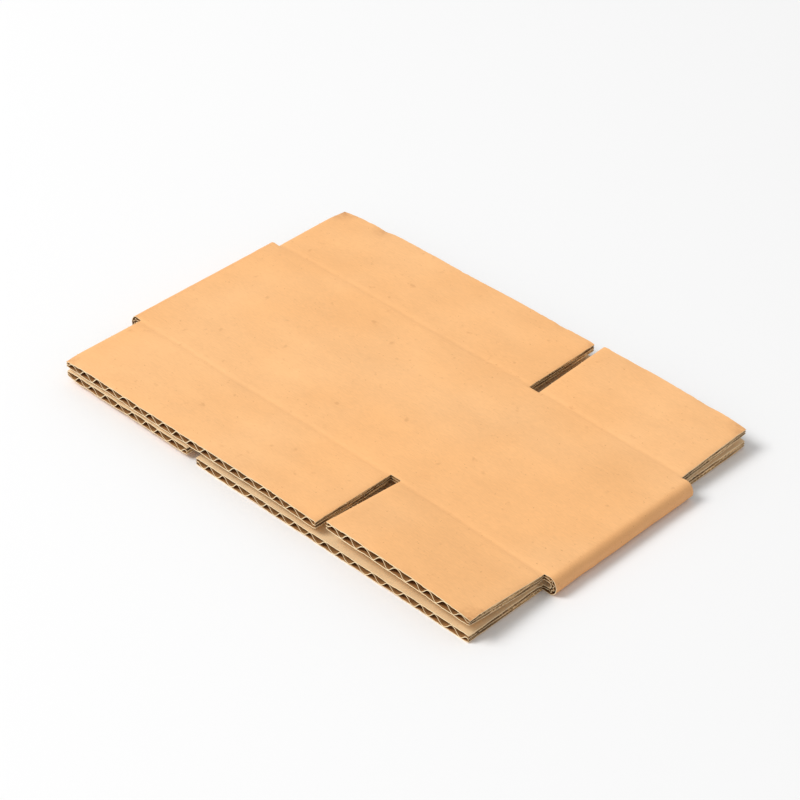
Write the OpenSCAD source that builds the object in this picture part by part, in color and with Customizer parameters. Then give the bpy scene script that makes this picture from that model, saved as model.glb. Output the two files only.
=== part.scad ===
/* [Box] */
// Length of the box, from score to score
box_length = 150; // [110:1:240]
// Width of the box, from score to score
box_width = 78; // [50:1:100]
// Height of the box, between its two rows of flap scores
box_height = 80; // [40:1:200]
// Depth of the eight flaps, from their score to their edge
flap_depth = 39; // [20:0.5:60]

/* [Board] */
// Thickness of the corrugated board
board_t = 4; // [3:0.1:6]
// Thickness of each of the two flat liner sheets
liner_t = 0.4; // [0.3:0.05:0.6]
// Thickness of the waved sheet, the medium, between the liners
medium_t = 0.3; // [0.2:0.05:0.5]
// Spacing of the flutes, from crest to crest
flute_pitch = 7.9; // [6:0.1:10]

/* [Scores and slots] */
// Width of the slots that part the flaps, and of the bands crushed along the folds
slot_w = 5; // [3:0.5:8]
// How far a slot runs past the flap scores
slot_overcut = 1; // [0.5:0.25:1.5]
// Width of the groove pressed along each flap score
score_w = 4; // [3.5:0.5:6]
// How far a flap score presses in each face of the board
score_depth = 0.2; // [0.05:0.05:0.25]
// Thickness of the board where a fold has crushed its flutes
crushed_t = 2.9; // [2:0.1:3.5]
// Width of the edge that the slotting knife has pressed shut
knife_edge_w = 0.6; // [0.4:0.1:1.5]

/* [Glued lap] */
// Width of the lap that closes the tube
lap_w = 30; // [20:1:40]
// Thickness of the lap, pressed flat when it was glued
lap_t = 2.4; // [1.5:0.1:4]
// How far the ends of the lap stay inside the flap scores
lap_end_gap = 3; // [2.5:0.5:10]
// How far the ends of the lap slope back to its free edge
lap_taper = 8; // [1:1:15]

/* [Resting shape] */
// Room between two faces of board that lie on each other
face_clearance = 0.2; // [0.1:0.05:0.5]
// How far the front flap of the raised width panel stands up from it, in degrees
front_lean = 5; // [1:0.5:12]
// How far the rear flap of the raised width panel stands up from it, in degrees
rear_lean = 3; // [1:0.5:12]

/* [Hidden] */

// The sheets sink this far into each other where they are glued
glue_depth = 0.1;
// A crushed band lies this far below the face of the panel beside it
crush_step = 0.15;
// The medium and the knife edges end this far inside the cut edge of the liners
setback = 0.3;
// Straight steps in one wave of the medium
wave_steps = 8;

half_height = box_height / 2;
half_score = score_w / 2;
half_slot = slot_w / 2;
band_length = box_height - 2 * slot_overcut;
// A crushed band reaches this far from its crease line, into the knife edges of both panels
band_reach = half_slot + 0.75 * knife_edge_w;
// The medium starts this far from a crease line, inside the knife edge
medium_start = half_slot + 0.5 * knife_edge_w;

// Heights of the undersides of the panels, as the tube lies on its lower length panel
first_fold_z = board_t + face_clearance;
upper_length_z = board_t + lap_t + face_clearance;
lower_width_z = upper_length_z - face_clearance - board_t;

// The upper width panel climbs from the first fold to the upper length panel, which lies on the lap
climb = asin((upper_length_z - first_fold_z) / box_width);
upper_crease = box_width * cos(climb);
second_fold = upper_crease + box_length;
lap_crease = second_fold - box_width;
half_span = second_fold / 2;

// Half the swing of the middle of the medium between the liners
wave_swing = board_t / 2 - liner_t - medium_t / 2 + glue_depth;

function reversed(list) = [for (i = [len(list) - 1 : -1 : 0]) list[i]];

// A point of a flap: run along it from its score, rise above the board's underside
function flap_point(side, lean, run, rise) = [
    side * (half_height + run * cos(lean) - rise * sin(lean)),
    run * sin(lean) + rise * cos(lean)
];

// One face of a sheet from the rear flap's edge, over both scores, to the front flap's edge
function sheet_face(rise, press, leans, depth) = [
    flap_point(-1, leans[1], depth, rise),
    flap_point(-1, leans[1], half_score, rise),
    [-half_height, rise + press],
    [half_score - half_height, rise],
    [half_height - half_score, rise],
    [half_height, rise + press],
    flap_point(1, leans[0], half_score, rise),
    flap_point(1, leans[0], depth, rise)
];

// The outline of a sheet between two heights in the board, each pressed in at the scores
function sheet_outline(low, low_press, high, high_press, leans, depth) = concat(
    sheet_face(low, low_press, leans, depth),
    reversed(sheet_face(high, high_press, leans, depth))
);

// A point at an offset from the middle of the medium
function wave_point(along, pitch, off) =
    let (phase = 360 * along / pitch)
    let (slope = atan(-wave_swing * sin(phase) * 2 * PI / pitch))
    [along - off * sin(slope), board_t / 2 + wave_swing * cos(phase) + off * cos(slope)];

function wave_face(pitch, waves, off) =
    [for (i = [0 : waves * wave_steps]) wave_point(i * pitch / wave_steps, pitch, off)];

// Extrudes a section, drawn away from the first fold and up, between two distances to the rear
module along_flutes(from, to) {
    translate([0, from, 0]) rotate([90, 0, 180]) linear_extrude(to - from) children();
}

// Extrudes a profile, drawn to the front and up, between two distances from a crease line
module across_flutes(from, to) {
    translate([-from, 0, 0]) rotate([90, 0, -90]) linear_extrude(to - from) children();
}

// A panel's medium: one run of flutes over the panel and its flat flaps, another on each leaning flap
module medium(width, leans) {
    room = width - 2 * medium_start;
    waves = round(room / flute_pitch);
    pitch = room / waves;
    outline = concat(
        wave_face(pitch, waves, medium_t / 2),
        reversed(wave_face(pitch, waves, -medium_t / 2))
    );
    flap_end = flap_depth - setback;
    ends = [for (lean = leans) half_height + (lean == 0 ? flap_end : -half_score - setback)];
    translate([-medium_start, 0, 0]) {
        along_flutes(-ends[0], ends[1]) polygon(outline);
        if (leans[0] != 0)
            translate([0, -half_height, 0]) rotate([-leans[0], 0, 0])
                along_flutes(-flap_end, -half_score - setback) polygon(outline);
        if (leans[1] != 0)
            translate([0, half_height, 0]) rotate([leans[1], 0, 0])
                along_flutes(half_score + setback, flap_end) polygon(outline);
    }
}

// One panel with its front and rear flap, from its crease line along -X, with its underside at Z 0
module panel(width, leans) {
    far = width - half_slot;
    low_liner = sheet_outline(0, score_depth, liner_t, score_depth, leans, flap_depth);
    high_liner = sheet_outline(
        board_t - liner_t, -score_depth, board_t, -score_depth, leans, flap_depth
    );
    knife_edge = sheet_outline(
        liner_t / 2, score_depth, board_t - liner_t / 2, -score_depth, leans, flap_depth - setback
    );
    across_flutes(half_slot, far) polygon(low_liner);
    across_flutes(half_slot, far) polygon(high_liner);
    across_flutes(half_slot, half_slot + knife_edge_w) polygon(knife_edge);
    across_flutes(far - knife_edge_w, far) polygon(knife_edge);
    medium(width, leans);
}

// The board bent back on itself at an end of the tube, between two walls that lie on each other
module fold_section() {
    outer_r = board_t + face_clearance / 2 - crush_step;
    inner_r = outer_r - crushed_t;
    difference() {
        union() {
            circle(outer_r, $fn = 48);
            translate([0, -outer_r]) square([band_reach, 2 * outer_r]);
        }
        circle(inner_r, $fn = 48);
        translate([0, -inner_r]) square([2 * band_reach, 2 * inner_r]);
    }
}

// The crushed band between the two upper panels, grooved on its inner side
module upper_crease_section() {
    drop = band_reach * sin(climb);
    top = board_t - crush_step;
    polygon([
        [-band_reach, crush_step - drop],
        [0, board_t - crushed_t],
        [band_reach, crush_step],
        [band_reach, top],
        [0, top],
        [-band_reach, top - drop]
    ]);
}

// The band that steps from the lower width panel up on to the inner face of the lower length panel
module lap_step_section() {
    polygon([
        [-band_reach, board_t - glue_depth],
        [-half_slot, board_t - glue_depth],
        [band_reach, lower_width_z + crush_step],
        [band_reach, lower_width_z + board_t - crush_step],
        [-band_reach, board_t + lap_t - crush_step]
    ]);
}

// The flat of the lap, glued inside the lower length panel, from its crease line along +X
module lap() {
    half_lap = half_height - lap_end_gap;
    linear_extrude(lap_t + glue_depth) polygon([
        [half_slot, -half_lap],
        [half_slot, half_lap],
        [lap_w, half_lap - lap_taper],
        [lap_w, lap_taper - half_lap]
    ]);
}

module flattened_box() {
    half_band = band_length / 2;
    half_lap = half_height - lap_end_gap;
    flat = [0, 0];
    color("burlywood") translate([half_span, 0, 0]) {
        panel(box_length, flat);
        translate([0, 0, first_fold_z]) rotate([0, climb, 0]) panel(box_width, [front_lean, rear_lean]);
        translate([-upper_crease, 0, upper_length_z]) panel(box_length, flat);
        translate([-lap_crease, 0, lower_width_z]) panel(box_width, flat);

        translate([0, 0, board_t + face_clearance / 2])
            along_flutes(-half_band, half_band) fold_section();
        translate([-second_fold, 0, upper_length_z - face_clearance / 2])
            along_flutes(-half_band, half_band) mirror([1, 0]) fold_section();
        translate([-upper_crease, 0, upper_length_z])
            along_flutes(-half_band, half_band) upper_crease_section();
        translate([-lap_crease, 0, 0])
            along_flutes(-half_lap, half_lap) lap_step_section();
        translate([-lap_crease, 0, board_t - glue_depth]) lap();
    }
}

flattened_box();
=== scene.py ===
import math
from typing import NamedTuple

import bpy
import numpy as np
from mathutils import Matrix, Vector


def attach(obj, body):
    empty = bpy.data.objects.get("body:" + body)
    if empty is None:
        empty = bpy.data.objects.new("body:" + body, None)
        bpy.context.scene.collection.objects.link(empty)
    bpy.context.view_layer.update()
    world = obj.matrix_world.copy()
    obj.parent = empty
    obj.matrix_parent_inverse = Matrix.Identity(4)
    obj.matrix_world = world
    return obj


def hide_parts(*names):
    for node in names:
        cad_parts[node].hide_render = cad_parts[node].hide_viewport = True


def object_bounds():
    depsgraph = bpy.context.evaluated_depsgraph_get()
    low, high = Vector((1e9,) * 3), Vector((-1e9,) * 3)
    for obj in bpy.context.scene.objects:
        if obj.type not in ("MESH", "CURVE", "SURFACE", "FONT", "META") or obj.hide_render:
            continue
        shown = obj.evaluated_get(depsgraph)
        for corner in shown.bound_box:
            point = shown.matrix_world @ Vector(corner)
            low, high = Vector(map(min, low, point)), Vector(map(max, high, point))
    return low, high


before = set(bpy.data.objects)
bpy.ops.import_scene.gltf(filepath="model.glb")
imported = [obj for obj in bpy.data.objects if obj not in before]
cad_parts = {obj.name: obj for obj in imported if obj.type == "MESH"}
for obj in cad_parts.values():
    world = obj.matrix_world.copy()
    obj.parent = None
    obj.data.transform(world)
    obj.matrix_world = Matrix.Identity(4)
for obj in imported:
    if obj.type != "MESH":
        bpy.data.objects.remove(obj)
cad_low, cad_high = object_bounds()

# Outer liner
# The brown kraft sheet on the outside of the board, 0.4 mm thick and glued to the crests of the flutes.
# It runs unbroken round the flattened tube, from the glued lap to the raw edge that the lap closes, and
# the slotting knives have cut it into eight flaps, four along the front and four along the rear.
MM = 0.001
BOX_LENGTH = 150 * MM
BOX_WIDTH = 78 * MM
BOX_HEIGHT = 80 * MM
FLAP_DEPTH = 39 * MM
BOARD = 4 * MM
LINER = 0.4 * MM
FLUTE_PITCH = 7.9 * MM
SLOT = 5 * MM
SLOT_OVERCUT = 1 * MM
CRUSHED = 2.9 * MM
LAP_WIDTH = 30 * MM
LAP = 2.4 * MM
LAP_END_GAP = 3 * MM
LAP_TAPER = 8 * MM
FACE_GAP = 0.2 * MM
FOLD_NOSE = 3.88 * MM

half_slot = SLOT / 2
half_height = BOX_HEIGHT / 2
half_band = half_height - SLOT_OVERCUT
edge_y = half_height + FLAP_DEPTH
liner_share = LINER / BOARD
climb = math.asin(LAP / BOX_WIDTH)
upper_crease = BOX_WIDTH * math.cos(climb)
second_fold = upper_crease + BOX_LENGTH
lap_crease = second_fold - BOX_WIDTH
half_span = second_fold / 2
first_fold_z = BOARD + FACE_GAP
upper_length_z = first_fold_z + LAP


class Panel(NamedTuple):
    """One of the four walls with its two flaps, measured from its crease nearer to the first fold."""

    start: tuple  # distance of that crease from the first fold, and height of the underside there
    tilt: float  # how steeply it climbs from that crease, in radians
    width: float  # from crease to crease
    outer_up: bool  # whether the outer liner is on top
    ends: tuple  # what is at its two sides: a fold, the lap's step, or the raw edge that the lap closes
    leans: tuple  # how far the front and rear flaps stand up from it, in radians
    bow: float  # how far it swells up between its sides


lower_length = Panel((0, 0), 0, BOX_LENGTH, False, ("fold", "raw"), (0, 0), 0.03 * MM)
raised_width = Panel(
    (0, first_fold_z), climb, BOX_WIDTH, True,
    ("fold", "fold"), (math.radians(5), math.radians(3)), 0.3 * MM,
)
upper_length = Panel(
    (upper_crease, upper_length_z), 0, BOX_LENGTH, True,
    ("fold", "fold"), (math.radians(0.3), math.radians(0.5)), 0.4 * MM,
)
lower_width = Panel(
    (lap_crease, LAP), 0, BOX_WIDTH, False,
    ("lap", "fold"), (math.radians(-0.6), math.radians(-0.9)), 0.05 * MM,
)
PANELS = (lower_length, raised_width, upper_length, lower_width)


class Bruise(NamedTuple):
    """A place where handling has squashed the board."""

    panel: Panel
    across: float  # place across the flutes, from the panel's crease
    along: float  # place along them, from the middle of the box
    reach: float
    share: float  # how much of the board's thickness is lost


BRUISES = (
    Bruise(upper_length, BOX_LENGTH - half_slot, edge_y, 6 * MM, 0.45),
    Bruise(upper_length, BOX_LENGTH - 28 * MM, edge_y, 4 * MM, 0.22),
    Bruise(upper_length, BOX_LENGTH - half_slot, -edge_y, 4 * MM, 0.30),
    Bruise(upper_length, 88 * MM, 12 * MM, 5 * MM, 0.04),
    Bruise(raised_width, half_slot, -edge_y, 5 * MM, 0.35),
    Bruise(raised_width, half_slot, edge_y, 5 * MM, 0.30),
    Bruise(raised_width, 70 * MM, -31 * MM, 3 * MM, 0.06),
    Bruise(lower_length, half_slot, edge_y, 4 * MM, 0.25),
    Bruise(lower_width, BOX_WIDTH - half_slot, -edge_y, 4 * MM, 0.30),
)


def smooth_step(t):
    """0 below 0, 1 above 1, and a smooth rise between."""
    t = np.clip(t, 0, 1)
    return t * t * (3 - 2 * t)


def ripple(seed, u, v, wavelength):
    """A smooth random field of about that wavelength, mostly between -1 and 1."""
    waves = 10
    random = np.random.RandomState(seed)
    total = 0
    for _ in range(waves):
        heading = random.uniform(0, 2 * math.pi)
        rate = 2 * math.pi / (wavelength * random.uniform(0.6, 1.6))
        phase = random.uniform(0, 2 * math.pi)
        total = total + np.sin(rate * (u * math.cos(heading) + v * math.sin(heading)) + phase)
    return total / math.sqrt(waves)


FOLD_CRUSH_REACH = 3.5 * MM
KNIFE_PINCH = 0.22
KNIFE_PINCH_REACH = 0.7 * MM
SCORE_REACH = 1.3 * MM
SCORE_OUTSIDE = 0.22 * MM
SCORE_INSIDE = 0.9 * MM
EDGE_DENT = 0.16
EDGE_DENT_REACH = 3 * MM
EDGE_DENT_SPACING = 14 * MM


def settled_depth(panel, p, y, depth):
    """A depth in the board, 0 outside to 1 inside, once folds, scores, cuts and use have squashed it."""
    on_wall = smooth_step((half_band + 0.5 * MM - np.abs(y)) / (1 * MM))
    for end, from_end in zip(panel.ends, (p, panel.width - p)):
        into = from_end - half_slot
        crush = (1 - CRUSHED / BOARD) * smooth_step(1 - into / FOLD_CRUSH_REACH) * on_wall
        pinch = KNIFE_PINCH * np.exp(-np.maximum(into, 0) / KNIFE_PINCH_REACH)
        if end == "fold":
            depth = depth * (1 - crush)
        if end == "lap":
            depth = crush + depth * (1 - crush)
        if end != "raw":
            pinch = pinch * (1 - on_wall)
        depth = depth + (0.5 - depth) * pinch
    scored = np.exp(-((np.abs(y) - half_height) / SCORE_REACH) ** 2) / BOARD
    depth = depth + scored * ((1 - depth) * SCORE_OUTSIDE - depth * SCORE_INSIDE)
    near_edge = smooth_step(1 - (edge_y - np.abs(y)) / EDGE_DENT_REACH)
    dents = ripple(PANELS.index(panel) + 71, p, np.sign(y) * 50 * MM, EDGE_DENT_SPACING)
    depth = depth + (0.5 - depth) * EDGE_DENT * near_edge * np.clip(dents, 0, 1)
    for bruise in BRUISES:
        if bruise.panel is panel:
            away = (p - bruise.across) ** 2 + (y - bruise.along) ** 2
            depth = depth + (0.6 - depth) * bruise.share * np.exp(-away / bruise.reach ** 2)
    return depth


def panel_point(panel, p, y, depth):
    """Points of a panel: p across the flutes from its crease, y along them, depth 0 outside to 1 inside."""
    p, y, depth = np.broadcast_arrays(p, y, depth)
    depth = settled_depth(panel, p, y, depth)
    rise = BOARD * ((1 - depth) if panel.outer_up else depth)
    lean = np.where(y < 0, panel.leans[0], panel.leans[1])
    run = np.abs(y) - half_height
    bend_reach = 2 * MM
    bent = np.clip((run + bend_reach) / (2 * bend_reach), 0, 1)
    lifted = np.where(run > bend_reach, run, bent ** 2 * bend_reach)
    along = np.abs(y) - np.maximum(run, 0) * (1 - np.cos(lean)) - rise * np.sin(lean) * bent
    swell = panel.bow * np.clip(1 + ripple(3, p, y, 90 * MM), 0, 2)
    for from_end in (p, panel.width - p):
        swell = swell * smooth_step((from_end - half_slot) / (25 * MM))
    rise = rise * np.cos(lean * bent) + lifted * np.sin(lean) + swell
    s = panel.start[0] + p * math.cos(panel.tilt) - rise * math.sin(panel.tilt)
    z = panel.start[1] + p * math.sin(panel.tilt) + rise * math.cos(panel.tilt)
    return np.stack([half_span - s, np.sign(y) * along, z], axis=-1)


def fold_point(crease, centre_z, turn, y, depth):
    """Points of the crushed band round a fold: turn runs from -90 degrees below it to 90 degrees above."""
    turn, y, depth = np.broadcast_arrays(turn, y, depth)
    dents = 0.32 * MM * np.abs(ripple(11, turn * BOARD, y, 20 * MM))
    wrinkles = 0.05 * MM * (1 + ripple(12, 6 * turn * BOARD, y, 14 * MM))
    crumple = np.clip(dents + wrinkles, 0, None) * np.cos(turn) * (1 - depth)
    nose = FOLD_NOSE - depth * CRUSHED - crumple
    half_gap = BOARD + FACE_GAP / 2 - depth * CRUSHED
    away = 1 if crease > half_span else -1
    s = crease + away * nose * np.cos(turn)
    return np.stack([half_span - s, y, centre_z + half_gap * np.sin(turn)], axis=-1)


def lap_point(s, y, depth):
    """Points of the glued lap, whose tapered ends stay inside the flap scores."""
    s, y, depth = np.broadcast_arrays(s, y, depth)
    freedom = np.clip((lap_crease - half_slot - s) / (LAP_WIDTH - half_slot), 0, 1)
    half_end = half_height - LAP_END_GAP - LAP_TAPER * freedom
    return np.stack([half_span - s, y * half_end / half_band, BOARD + LAP * depth], axis=-1)


def flute_count(width):
    """How many flutes a strip of that width holds between its crushed sides."""
    return round((width - SLOT) / FLUTE_PITCH)


def flute_turn(panel, p):
    """Turn of the slightly uneven flutes across a panel; at half a turn they touch the outer liner."""
    even = 2 * math.pi * flute_count(panel.width) * (p - half_slot) / (panel.width - SLOT)
    return even + 0.35 * ripple(41, p, 0, 25 * MM)


def rows_along_flutes():
    """Places along the flutes, close together at the flap scores and at the cut edges."""
    near_edge = edge_y - np.array([0, 0.25, 0.7, 1.5, 3, 5]) * MM
    flap = np.linspace(edge_y - 8.5 * MM, half_height + 4 * MM, 8)
    score = half_height + np.array([2.6, 1.8, 1.2, 0.6, 0, -0.5, -1.0, -1.6, -2.4]) * MM
    wall = np.linspace(half_height - 4 * MM, 0, 9)
    half = np.concatenate([near_edge, flap, score, wall])
    return np.concatenate([-half, half[-2::-1]])


def panel_face(panel, backwards, depth_at, per_flute, seed):
    """A grid of points on one face of a ply of a panel, with its cut edges a little ragged."""
    steps = flute_count(panel.width) * per_flute
    p = half_slot + (panel.width - SLOT) * np.arange(steps + 1) / steps
    if backwards:
        p = p[::-1]
    depth = depth_at(panel, p)[:, None]
    p = p[:, None]
    y = rows_along_flutes()[None, :]
    torn = 0.09 * MM * (2 + np.clip(ripple(seed, p, 0, 3 * MM), -1, 1))
    wavy = 0.08 * MM * (1 + np.clip(ripple(7, p, 0, 45 * MM), -1, 1))
    at_edge = np.clip(1 - (edge_y - np.abs(y)) / (3 * MM), 0, 1)
    frayed = 0.07 * MM * (1 + np.clip(ripple(seed + 1, 0, y, 2.2 * MM), -1, 1)) * (np.abs(y) > half_band)
    inward = np.where(p == p.min(), 1, np.where(p == p.max(), -1, 0))
    return panel_point(panel, p + inward * frayed, y - np.sign(y) * at_edge * (torn + wavy), depth)


def fold_face(crease, centre_z, upwards, depth_at):
    """A grid of points on one face of a ply round a fold."""
    turn = np.radians(np.linspace(-90, 90, 33))
    if not upwards:
        turn = -turn
    depth = depth_at(None, turn)[:, None]
    return fold_point(crease, centre_z, turn[:, None], rows_along_flutes()[None, :], depth)


def lap_face(depth_at, per_flute):
    """A grid of points on one face of a ply of the lap."""
    s = np.linspace(lap_crease - LAP_WIDTH, lap_crease - half_slot, flute_count(LAP_WIDTH) * per_flute)
    return lap_point(s[:, None], rows_along_flutes()[None, :], depth_at(None, s)[:, None])


def ply_face(depth_at, per_flute, seed):
    """One face of a ply all round the tube, and for each of its columns the panel it is on, or -1 off them.

    depth_at gives the depth of the face from the panel, or None off the panels, and the places across it.
    """
    stretches = [
        (-1, lap_face(depth_at, per_flute)),
        (0, panel_face(lower_width, False, depth_at, per_flute, seed)),
        (-1, fold_face(second_fold, upper_length_z - FACE_GAP / 2, True, depth_at)),
        (1, panel_face(upper_length, True, depth_at, per_flute, seed)),
        (2, panel_face(raised_width, True, depth_at, per_flute, seed)),
        (-1, fold_face(0, first_fold_z - FACE_GAP / 2, False, depth_at)),
        (3, panel_face(lower_length, False, depth_at, per_flute, seed)),
    ]
    columns = np.concatenate([np.full(len(points), number) for number, points in stretches])
    return np.concatenate([points for number, points in stretches]), columns


def kept_cells(columns):
    """Which cells of a ply are board: all of a panel, but only the wall between the flaps elsewhere."""
    y = rows_along_flutes()
    on_wall = np.abs(y[1:] + y[:-1]) / 2 < half_band
    on_one_panel = (columns[1:] == columns[:-1]) & (columns[1:] >= 0)
    return on_one_panel[:, None] | on_wall[None, :]


def closed_shell(outside, inside, kept):
    """Points and faces of a closed shell between two grids, with a rim round every edge of the kept cells.

    Each face comes with its material: 0 on the first grid, 1 on the second and 2 on the rim.
    """
    index = np.arange(outside.shape[0] * outside.shape[1]).reshape(outside.shape[:2])
    below = index + index.size
    padded = np.pad(kept, 1)
    faces = []
    for i, j in zip(*np.nonzero(kept)):
        a, b, c, d = index[i, j], index[i + 1, j], index[i + 1, j + 1], index[i, j + 1]
        e, f, g, h = below[i, j], below[i + 1, j], below[i + 1, j + 1], below[i, j + 1]
        faces.append((a, b, c, d, 0))
        faces.append((h, g, f, e, 1))
        if not padded[i + 1, j]:
            faces.append((b, a, e, f, 2))
        if not padded[i + 1, j + 2]:
            faces.append((d, c, g, h, 2))
        if not padded[i, j + 1]:
            faces.append((a, d, h, e, 2))
        if not padded[i + 2, j + 1]:
            faces.append((c, b, f, g, 2))
    points = np.concatenate([outside.reshape(-1, 3), inside.reshape(-1, 3)])
    faces = np.array(faces)
    used, corners = np.unique(faces[:, :4], return_inverse=True)
    return points[used], corners.reshape(-1, 4), faces[:, 4]


def ply_shell(face_depth, back_depth, per_flute, seed):
    """A closed shell all round the tube, between the depths of the two faces of a ply."""
    face, columns = ply_face(face_depth, per_flute, seed)
    back, columns = ply_face(back_depth, per_flute, seed)
    return closed_shell(face, back, kept_cells(columns))


def paper_piece(name, shells, materials):
    """One object of the root body made of closed shells."""
    points = np.concatenate([shell[0] for shell in shells])
    starts = np.cumsum([0] + [len(shell[0]) for shell in shells])
    corners = np.concatenate([shell[1] + start for shell, start in zip(shells, starts)])
    mesh = bpy.data.meshes.new(name)
    mesh.from_pydata(points.tolist(), [], corners.tolist())
    for material in materials:
        mesh.materials.append(material)
    mesh.polygons.foreach_set("material_index", np.concatenate([shell[2] for shell in shells]))
    mesh.polygons.foreach_set("use_smooth", [True] * len(mesh.polygons))
    mesh.set_sharp_from_angle(angle=math.radians(45))
    piece = bpy.data.objects.new(name, mesh)
    bpy.context.scene.collection.objects.link(piece)
    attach(piece, "root")
    return piece


def add_node(tree, kind, inputs=(), **settings):
    """A shader node with its settings made and its inputs set or linked."""
    made = tree.nodes.new(kind)
    for setting, value in settings.items():
        setattr(made, setting, value)
    for socket, value in dict(inputs).items():
        if isinstance(value, bpy.types.NodeSocket):
            tree.links.new(value, made.inputs[socket])
        else:
            made.inputs[socket].default_value = value
    return made


def noise(tree, place, scale, detail, roughness=0.5):
    """A noise texture between 0 and 1, with one scale or a scale along each axis, in turns per metre."""
    if isinstance(scale, tuple):
        place = add_node(tree, "ShaderNodeMapping", {"Vector": place, "Scale": scale}).outputs[0]
        scale = 1
    texture = {"Vector": place, "Scale": scale, "Detail": detail, "Roughness": roughness}
    return add_node(tree, "ShaderNodeTexNoise", texture).outputs["Fac"]


def spread(tree, value, low, high, to_low=0.0, to_high=1.0):
    """A value spread from one range to another and held at its ends."""
    ranges = {"Value": value, "From Min": low, "From Max": high, "To Min": to_low, "To Max": to_high}
    return add_node(tree, "ShaderNodeMapRange", ranges).outputs[0]


def tinted(tree, colour, tint):
    """A colour times a fixed tint."""
    return add_node(tree, "ShaderNodeVectorMath", {0: colour, 1: tint}, operation="MULTIPLY").outputs[0]


def towards(tree, factor, colour, other):
    """A colour drawn towards another by a factor."""
    ends = {"Factor": factor, "A": colour, "B": other}
    return add_node(tree, "ShaderNodeMix", ends, data_type="RGBA").outputs["Result"]


def paper_group():
    """Kraft paper: cloudy formation, long fibres across the flutes, some smudges and specks of bark."""
    tree = bpy.data.node_groups.new("kraft_paper", "ShaderNodeTree")
    tree.interface.new_socket("Colour", in_out="INPUT", socket_type="NodeSocketColor")
    tree.interface.new_socket("Mottling", in_out="INPUT", socket_type="NodeSocketFloat")
    tree.interface.new_socket("Colour", in_out="OUTPUT", socket_type="NodeSocketColor")
    tree.interface.new_socket("Height", in_out="OUTPUT", socket_type="NodeSocketFloat")
    given = add_node(tree, "NodeGroupInput")
    place = add_node(tree, "ShaderNodeTexCoord").outputs["Object"]
    cloud = noise(tree, place, (32, 75, 75), 5, 0.6)
    fibre = noise(tree, place, (420, 2600, 2600), 3)
    grain = add_node(tree, "ShaderNodeMath", {0: cloud, 1: fibre}, operation="ADD").outputs[0]
    centred = add_node(tree, "ShaderNodeMath", {0: grain, 1: 1.0}, operation="SUBTRACT").outputs[0]
    lightness = add_node(
        tree, "ShaderNodeMath", {0: centred, 1: given.outputs["Mottling"], 2: 1.0}, operation="MULTIPLY_ADD",
    )
    shaded = {0: given.outputs["Colour"], "Scale": lightness.outputs[0]}
    mottled = add_node(tree, "ShaderNodeVectorMath", shaded, operation="SCALE").outputs[0]
    warmth = spread(tree, noise(tree, place, 17, 3), 0.38, 0.62)
    drifted = towards(tree, warmth, mottled, tinted(tree, mottled, (0.985, 0.945, 0.88)))
    smudge = spread(tree, noise(tree, place, 240, 2), 0.68, 0.78, to_high=0.30)
    smudged = towards(tree, smudge, drifted, tinted(tree, drifted, (0.60, 0.50, 0.42)))
    bark = spread(tree, noise(tree, place, 900, 1), 0.72, 0.80, to_high=0.45)
    specked = towards(tree, bark, smudged, tinted(tree, smudged, (0.55, 0.45, 0.35)))
    add_node(tree, "NodeGroupOutput", {"Colour": specked, "Height": grain})
    return tree


kraft_paper = paper_group()


def paper_material(name, colour, mottling, roughness, bump):
    """A sheet of kraft paper of that colour."""
    material = bpy.data.materials.new(name)
    material.use_nodes = True
    tree = material.node_tree
    shader = tree.nodes["Principled BSDF"]
    paper = add_node(tree, "ShaderNodeGroup", node_tree=kraft_paper)
    paper.inputs["Colour"].default_value = (*colour, 1)
    paper.inputs["Mottling"].default_value = mottling
    relief = add_node(
        tree, "ShaderNodeBump", {"Height": paper.outputs["Height"], "Strength": bump, "Distance": 0.2 * MM},
    )
    tree.links.new(paper.outputs["Colour"], shader.inputs["Base Color"])
    tree.links.new(relief.outputs[0], shader.inputs["Normal"])
    shader.inputs["Roughness"].default_value = roughness
    return material


def mark_handling_and_fold_shade(material):
    """Paints shade, with some rub wear, on the noses of the folds, and dirties the paper where the board is
    bruised.
    """
    tree = material.node_tree
    base = tree.nodes["Principled BSDF"].inputs["Base Color"]
    clean = base.links[0].from_socket
    place = add_node(tree, "ShaderNodeTexCoord").outputs["Object"]
    soiled = None
    for bruise in BRUISES:
        spot = panel_point(bruise.panel, bruise.across, bruise.along, 0.0)
        away = add_node(tree, "ShaderNodeVectorMath", {0: place, 1: tuple(spot)}, operation="DISTANCE")
        dirt = spread(tree, away.outputs["Value"], 1.7 * bruise.reach, 0.0, to_high=1.9 * bruise.share)
        if soiled is not None:
            dirt = add_node(tree, "ShaderNodeMath", {0: soiled, 1: dirt}, operation="MAXIMUM").outputs[0]
        soiled = dirt
    patchy = spread(tree, noise(tree, place, 320, 4, 0.7), 0.36, 0.62)
    blotched = add_node(tree, "ShaderNodeMath", {0: soiled, 1: patchy}, operation="MULTIPLY").outputs[0]
    across = add_node(tree, "ShaderNodeSeparateXYZ", {"Vector": place}).outputs["X"]
    from_middle = add_node(tree, "ShaderNodeMath", {0: across}, operation="ABSOLUTE").outputs[0]
    # Painted shade, with some rub wear: the paper darkens towards the noses of the folds.
    nose_shade_and_wear = spread(tree, from_middle, half_span - 1 * MM, half_span + 3.5 * MM, to_high=0.6)
    rubbed_and_shaded = towards(tree, nose_shade_and_wear, clean, tinted(tree, clean, (0.86, 0.74, 0.60)))
    tree.links.new(towards(tree, blotched, rubbed_and_shaded, tinted(tree, clean, (0.50, 0.38, 0.28))), base)


def washboard(panel, p):
    """How far a liner sinks between the crests of the flutes, as a share of the board's thickness."""
    if panel is None:
        return 0 * p
    sunk = 0.006 * (1 + np.cos(flute_turn(panel, p))) / 2
    for from_end in (p, panel.width - p):
        sunk = sunk * smooth_step((from_end - half_slot) / (4 * MM))
    return sunk


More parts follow.
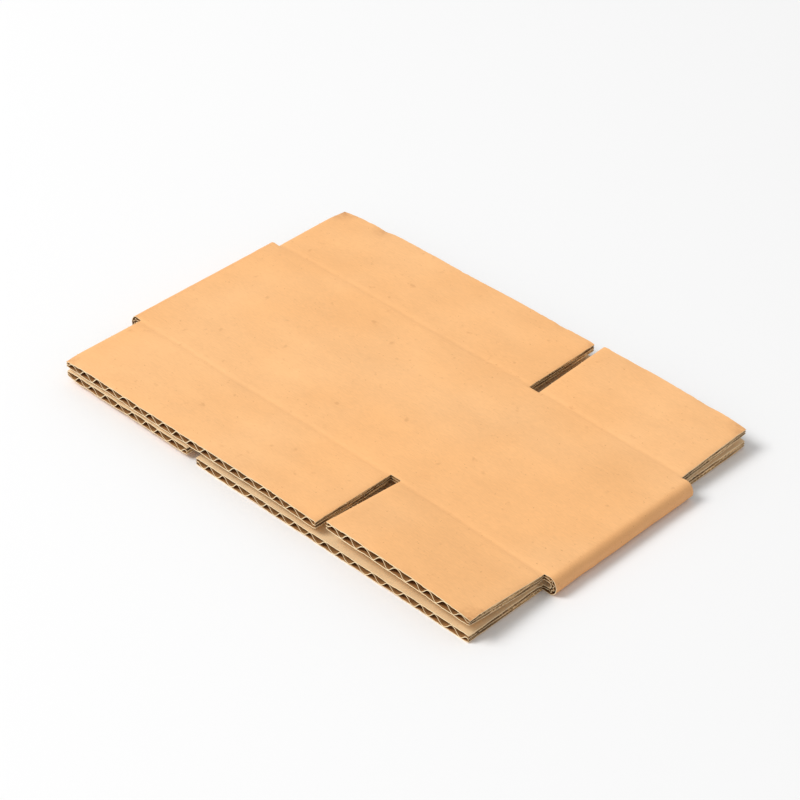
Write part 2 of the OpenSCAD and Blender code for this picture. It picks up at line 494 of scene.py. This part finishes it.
outer_kraft = paper_material("outer_kraft", (0.922, 0.506, 0.217), 0.22, 0.62, 0.25)
mark_handling_and_fold_shade(outer_kraft)
# The faces of the liners that turn to the flutes are painted dark brown as the shade of the hollows, not in
# the paper's own colour.
painted_flute_shade = paper_material("painted_flute_shade", (0.37, 0.17, 0.05), 0.30, 0.85, 0.4)
# The cut rims of the plies are pale cream: partly the paler cut fibres, partly a painted highlight of the
# light they catch.
pale_cut_and_highlight = paper_material("pale_cut_and_highlight", (0.92, 0.74, 0.48), 0.30, 0.85, 0.5)

outer_shell = ply_shell(washboard, lambda panel, p: washboard(panel, p) + liner_share, 8, 21)
outer_liner = paper_piece("outer_liner", [outer_shell], [outer_kraft, painted_flute_shade, pale_cut_and_highlight])
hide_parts("flattened_box")

# Inner liner
# The paler kraft sheet on the inside of the board, glued to the other crests of the flutes. It shows only
# where the flaps part, and along the cut edges as the second of the two pale lines.
inner_kraft = paper_material("inner_kraft", (0.78, 0.57, 0.34), 0.22, 0.75, 0.3)

inner_shell = ply_shell(lambda panel, p: 0 * p + 1 - liner_share, lambda panel, p: 0 * p + 1, 6, 31)
paper_piece("inner_liner", [inner_shell], [painted_flute_shade, inner_kraft, pale_cut_and_highlight])

# Fluted medium
# The thin waved sheet between the liners, pressed to shape between hot rollers and glued to both at its
# crests. Its open ends show along the front and rear edges as a row of dark hollows.
MEDIUM = 0.3 * MM
SUNK_IN_GLUE = 0.06 * MM
medium_kraft = paper_material("medium_kraft", (0.39, 0.19, 0.06), 0.35, 0.85, 0.4)


def wave_depth(panel, p, side):
    """Depth of the outer (side -1) or inner (side 1) face of the medium, crumpled off the panels."""
    if panel is None:
        crumpled = 0.16 * np.sin(9 * math.pi * np.arange(len(p)) / len(p))
        return 0.5 + crumpled + side * MEDIUM / CRUSHED / 2
    swing = BOARD / 2 - LINER - MEDIUM / 2 + SUNK_IN_GLUE
    turn = flute_turn(panel, p)
    turn = turn + 0.16 * np.sin(turn)
    slope = np.sin(turn) * swing * 2 * math.pi / FLUTE_PITCH
    wave = swing * np.cos(turn)
    for from_end in (p, panel.width - p):
        wave = wave * smooth_step((from_end - half_slot) / (3 * MM))
    return 0.5 + (wave + side * MEDIUM / 2 * np.sqrt(1 + slope ** 2)) / BOARD


medium_shell = ply_shell(
    lambda panel, p: wave_depth(panel, p, -1),
    lambda panel, p: wave_depth(panel, p, 1),
    12, 51,
)
paper_piece("fluted_medium", [medium_shell], [medium_kraft, medium_kraft, pale_cut_and_highlight])

# Knife-cut edges
# Along the sides of the slots, and along the raw edge at the lap, the slotting knife ran with the flutes and
# pressed them shut: what shows between the liners is squashed, torn medium.
KNIFE_EDGE = 0.7 * MM
crushed_flutes = paper_material("crushed_flutes", (0.47, 0.285, 0.125), 0.4, 0.9, 0.8)


def streak_along_flutes(material):
    """Painted shade in the hollows and pale torn edges of the squashed flutes, drawn out along the cut."""
    tree = material.node_tree
    base = tree.nodes["Principled BSDF"].inputs["Base Color"]
    plain = base.links[0].from_socket
    place = add_node(tree, "ShaderNodeTexCoord").outputs["Object"]
    streak = noise(tree, place, (1100, 75, 1100), 2)
    # The dark streaks are painted shade of the hollows between the squashed flutes.
    painted_hollow_shade = towards(tree, spread(tree, streak, 0.54, 0.43), plain, tinted(tree, plain, (0.32, 0.27, 0.22)))
    torn = towards(tree, spread(tree, streak, 0.55, 0.63), painted_hollow_shade, tinted(tree, plain, (1.75, 1.90, 2.20)))
    tone = spread(tree, noise(tree, place, 45, 2), 0.35, 0.65, 0.65, 1.35)
    toned = add_node(tree, "ShaderNodeVectorMath", {0: torn, "Scale": tone}, operation="SCALE")
    tree.links.new(toned.outputs[0], base)


streak_along_flutes(crushed_flutes)


def knife_edge(panel, at_far_end, low_y, high_y, seed):
    """The squashed core of one slot-cut side of a panel, rough on its cut face."""
    y = np.linspace(low_y, high_y, round((high_y - low_y) / (0.45 * MM)))[:, None]
    depth = np.linspace(0.8 * liner_share, 1 - 0.8 * liner_share, 9)[None, :]
    rough = 0.16 * MM * (1.2 + np.clip(ripple(seed, y, depth * 8 * MM, 1.6 * MM), -1, 1))
    front = half_slot + rough
    back = half_slot + KNIFE_EDGE
    if at_far_end:
        front = panel.width - front
        back = panel.width - back
    cut = panel_point(panel, front, y, depth)
    deep = panel_point(panel, back, y, depth)
    if at_far_end != panel.outer_up:
        cut, deep = deep, cut
    return closed_shell(cut, deep, np.ones((cut.shape[0] - 1, cut.shape[1] - 1), bool))


edge_end = edge_y - 0.45 * MM
slot_root = half_band + 0.4 * MM
edges = []
for panel in PANELS:
    for at_far_end, end in zip((False, True), panel.ends):
        spans = [(-edge_end, -slot_root), (slot_root, edge_end)]
        if end == "raw":
            spans = [(-edge_end, edge_end)]
        for low_y, high_y in spans:
            edges.append(knife_edge(panel, at_far_end, low_y, high_y, 60 + len(edges)))
paper_piece("knife_cut_edges", edges, [crushed_flutes] * 3)

# Torn fibres
# Slivers of paper that the slotting knife pulled loose instead of cutting, still fast to the sides of the
# slots and sticking out into them.
SLIVERS_A_SIDE = 22


def sliver(random, panel, at_far_end, y, depth):
    """A pointed scrap of paper on a slot-cut side, as a closed shell of four faces."""
    length = random.uniform(0.1, 0.55) * MM
    half_wide = random.uniform(0.1, 0.4) * MM
    skew = random.uniform(-0.8, 0.8) * MM
    p = np.array([half_slot + 0.25 * MM] * 3 + [half_slot - length])
    if at_far_end:
        p = panel.width - p
    along = y + np.array([-half_wide, half_wide, 0, skew])
    depths = depth + np.array([-0.02, -0.02, 0.02, random.uniform(-0.06, 0.06)])
    points = panel_point(panel, p, along, np.clip(depths, 0.01, 0.99))
    faces = np.array([(0, 1, 2), (0, 3, 1), (1, 3, 2), (2, 3, 0)])
    base = points[:3]
    normal = np.cross(base[1] - base[0], base[2] - base[0])
    if np.dot(normal, base[0] - points[3]) < 0:
        faces = faces[:, ::-1]
    return points, faces, np.zeros(len(faces), int)


random = np.random.RandomState(90)
slivers = []
for panel in PANELS:
    for at_far_end in (False, True):
        for side in (-1, 1):
            for _ in range(SLIVERS_A_SIDE):
                y = side * random.uniform(half_height + 1 * MM, edge_y - 1 * MM)
                depth = random.choice([liner_share / 2, 1 - liner_share / 2, random.uniform(0.2, 0.8)])
                slivers.append(sliver(random, panel, at_far_end, y, depth))
paper_piece("torn_fibres", slivers, [inner_kraft])

# Floor and light
# A pale studio floor that fades into a white room, lit by one broad soft lamp and by an even surround. The
# lamp stands on the side of the second fold and the front flaps, so the first fold turns into the shade.
FLOOR_REACH = 1.6
floor_mesh = bpy.data.meshes.new("floor")
floor_corners = [(-1, -1), (1, -1), (1, 1), (-1, 1)]
floor_mesh.from_pydata([(FLOOR_REACH * x, FLOOR_REACH * y, 0) for x, y in floor_corners], [], [(0, 1, 2, 3)])
floor = bpy.data.objects.new("floor", floor_mesh)
floor.location.z = -0.05 * MM
bpy.context.scene.collection.objects.link(floor)
white_floor = bpy.data.materials.new("white_floor")
white_floor.use_nodes = True
floor_tree = white_floor.node_tree
floor_shader = floor_tree.nodes["Principled BSDF"]
floor_shader.inputs["Base Color"].default_value = (0.9, 0.9, 0.9, 1)
floor_shader.inputs["Roughness"].default_value = 0.9
floor_place = add_node(floor_tree, "ShaderNodeTexCoord").outputs["Object"]
from_box = add_node(floor_tree, "ShaderNodeVectorMath", {0: floor_place}, operation="LENGTH")
fading = spread(floor_tree, from_box.outputs["Value"], FLOOR_REACH, 0.4 * FLOOR_REACH)
floor_tree.links.new(fading, floor_shader.inputs["Alpha"])
floor_mesh.materials.append(white_floor)

world = bpy.data.worlds.new("studio")
world.use_nodes = True
room = world.node_tree
surround = room.nodes["Background"]
surround.inputs["Color"].default_value = (1, 1, 1, 1)
surround.inputs["Strength"].default_value = 0.55
backdrop = add_node(room, "ShaderNodeBackground", {"Color": (1, 1, 1, 1), "Strength": 0.95})
seen = add_node(room, "ShaderNodeLightPath").outputs["Is Camera Ray"]
shown = add_node(room, "ShaderNodeMixShader", {0: seen, 1: surround.outputs[0], 2: backdrop.outputs[0]})
room.links.new(shown.outputs[0], room.nodes["World Output"].inputs["Surface"])
bpy.context.scene.world = world

key_light = bpy.data.lights.new("key_lamp", "AREA")
key_light.size = 2.0
key_light.energy = 150
key_lamp = bpy.data.objects.new("key_lamp", key_light)
key_lamp.location = (-2.0, -2.2, 3.4)
key_lamp.rotation_euler = (-key_lamp.location).to_track_quat("-Z", "Y").to_euler()
bpy.context.scene.collection.objects.link(key_lamp)

# Camera
# It looks down on the box past the corner between the first fold and the front flaps, at the angle of
# the photograph.
AZIMUTH = math.radians(44.5)
ELEVATION = math.radians(37)
DISTANCE = 0.97
lens = bpy.data.cameras.new("camera")
lens.lens = 110
lens.sensor_width = 36
camera = bpy.data.objects.new("camera", lens)
middle = (Vector(cad_low) + Vector(cad_high)) / 2
heading = Vector((
    math.sin(AZIMUTH) * math.cos(ELEVATION),
    -math.cos(AZIMUTH) * math.cos(ELEVATION),
    math.sin(ELEVATION),
))
camera.location = middle + heading * DISTANCE
camera.rotation_euler = (-heading).to_track_quat("-Z", "Y").to_euler()
bpy.context.scene.collection.objects.link(camera)
bpy.context.scene.camera = camera
bpy.context.scene.view_settings.view_transform = "Standard"
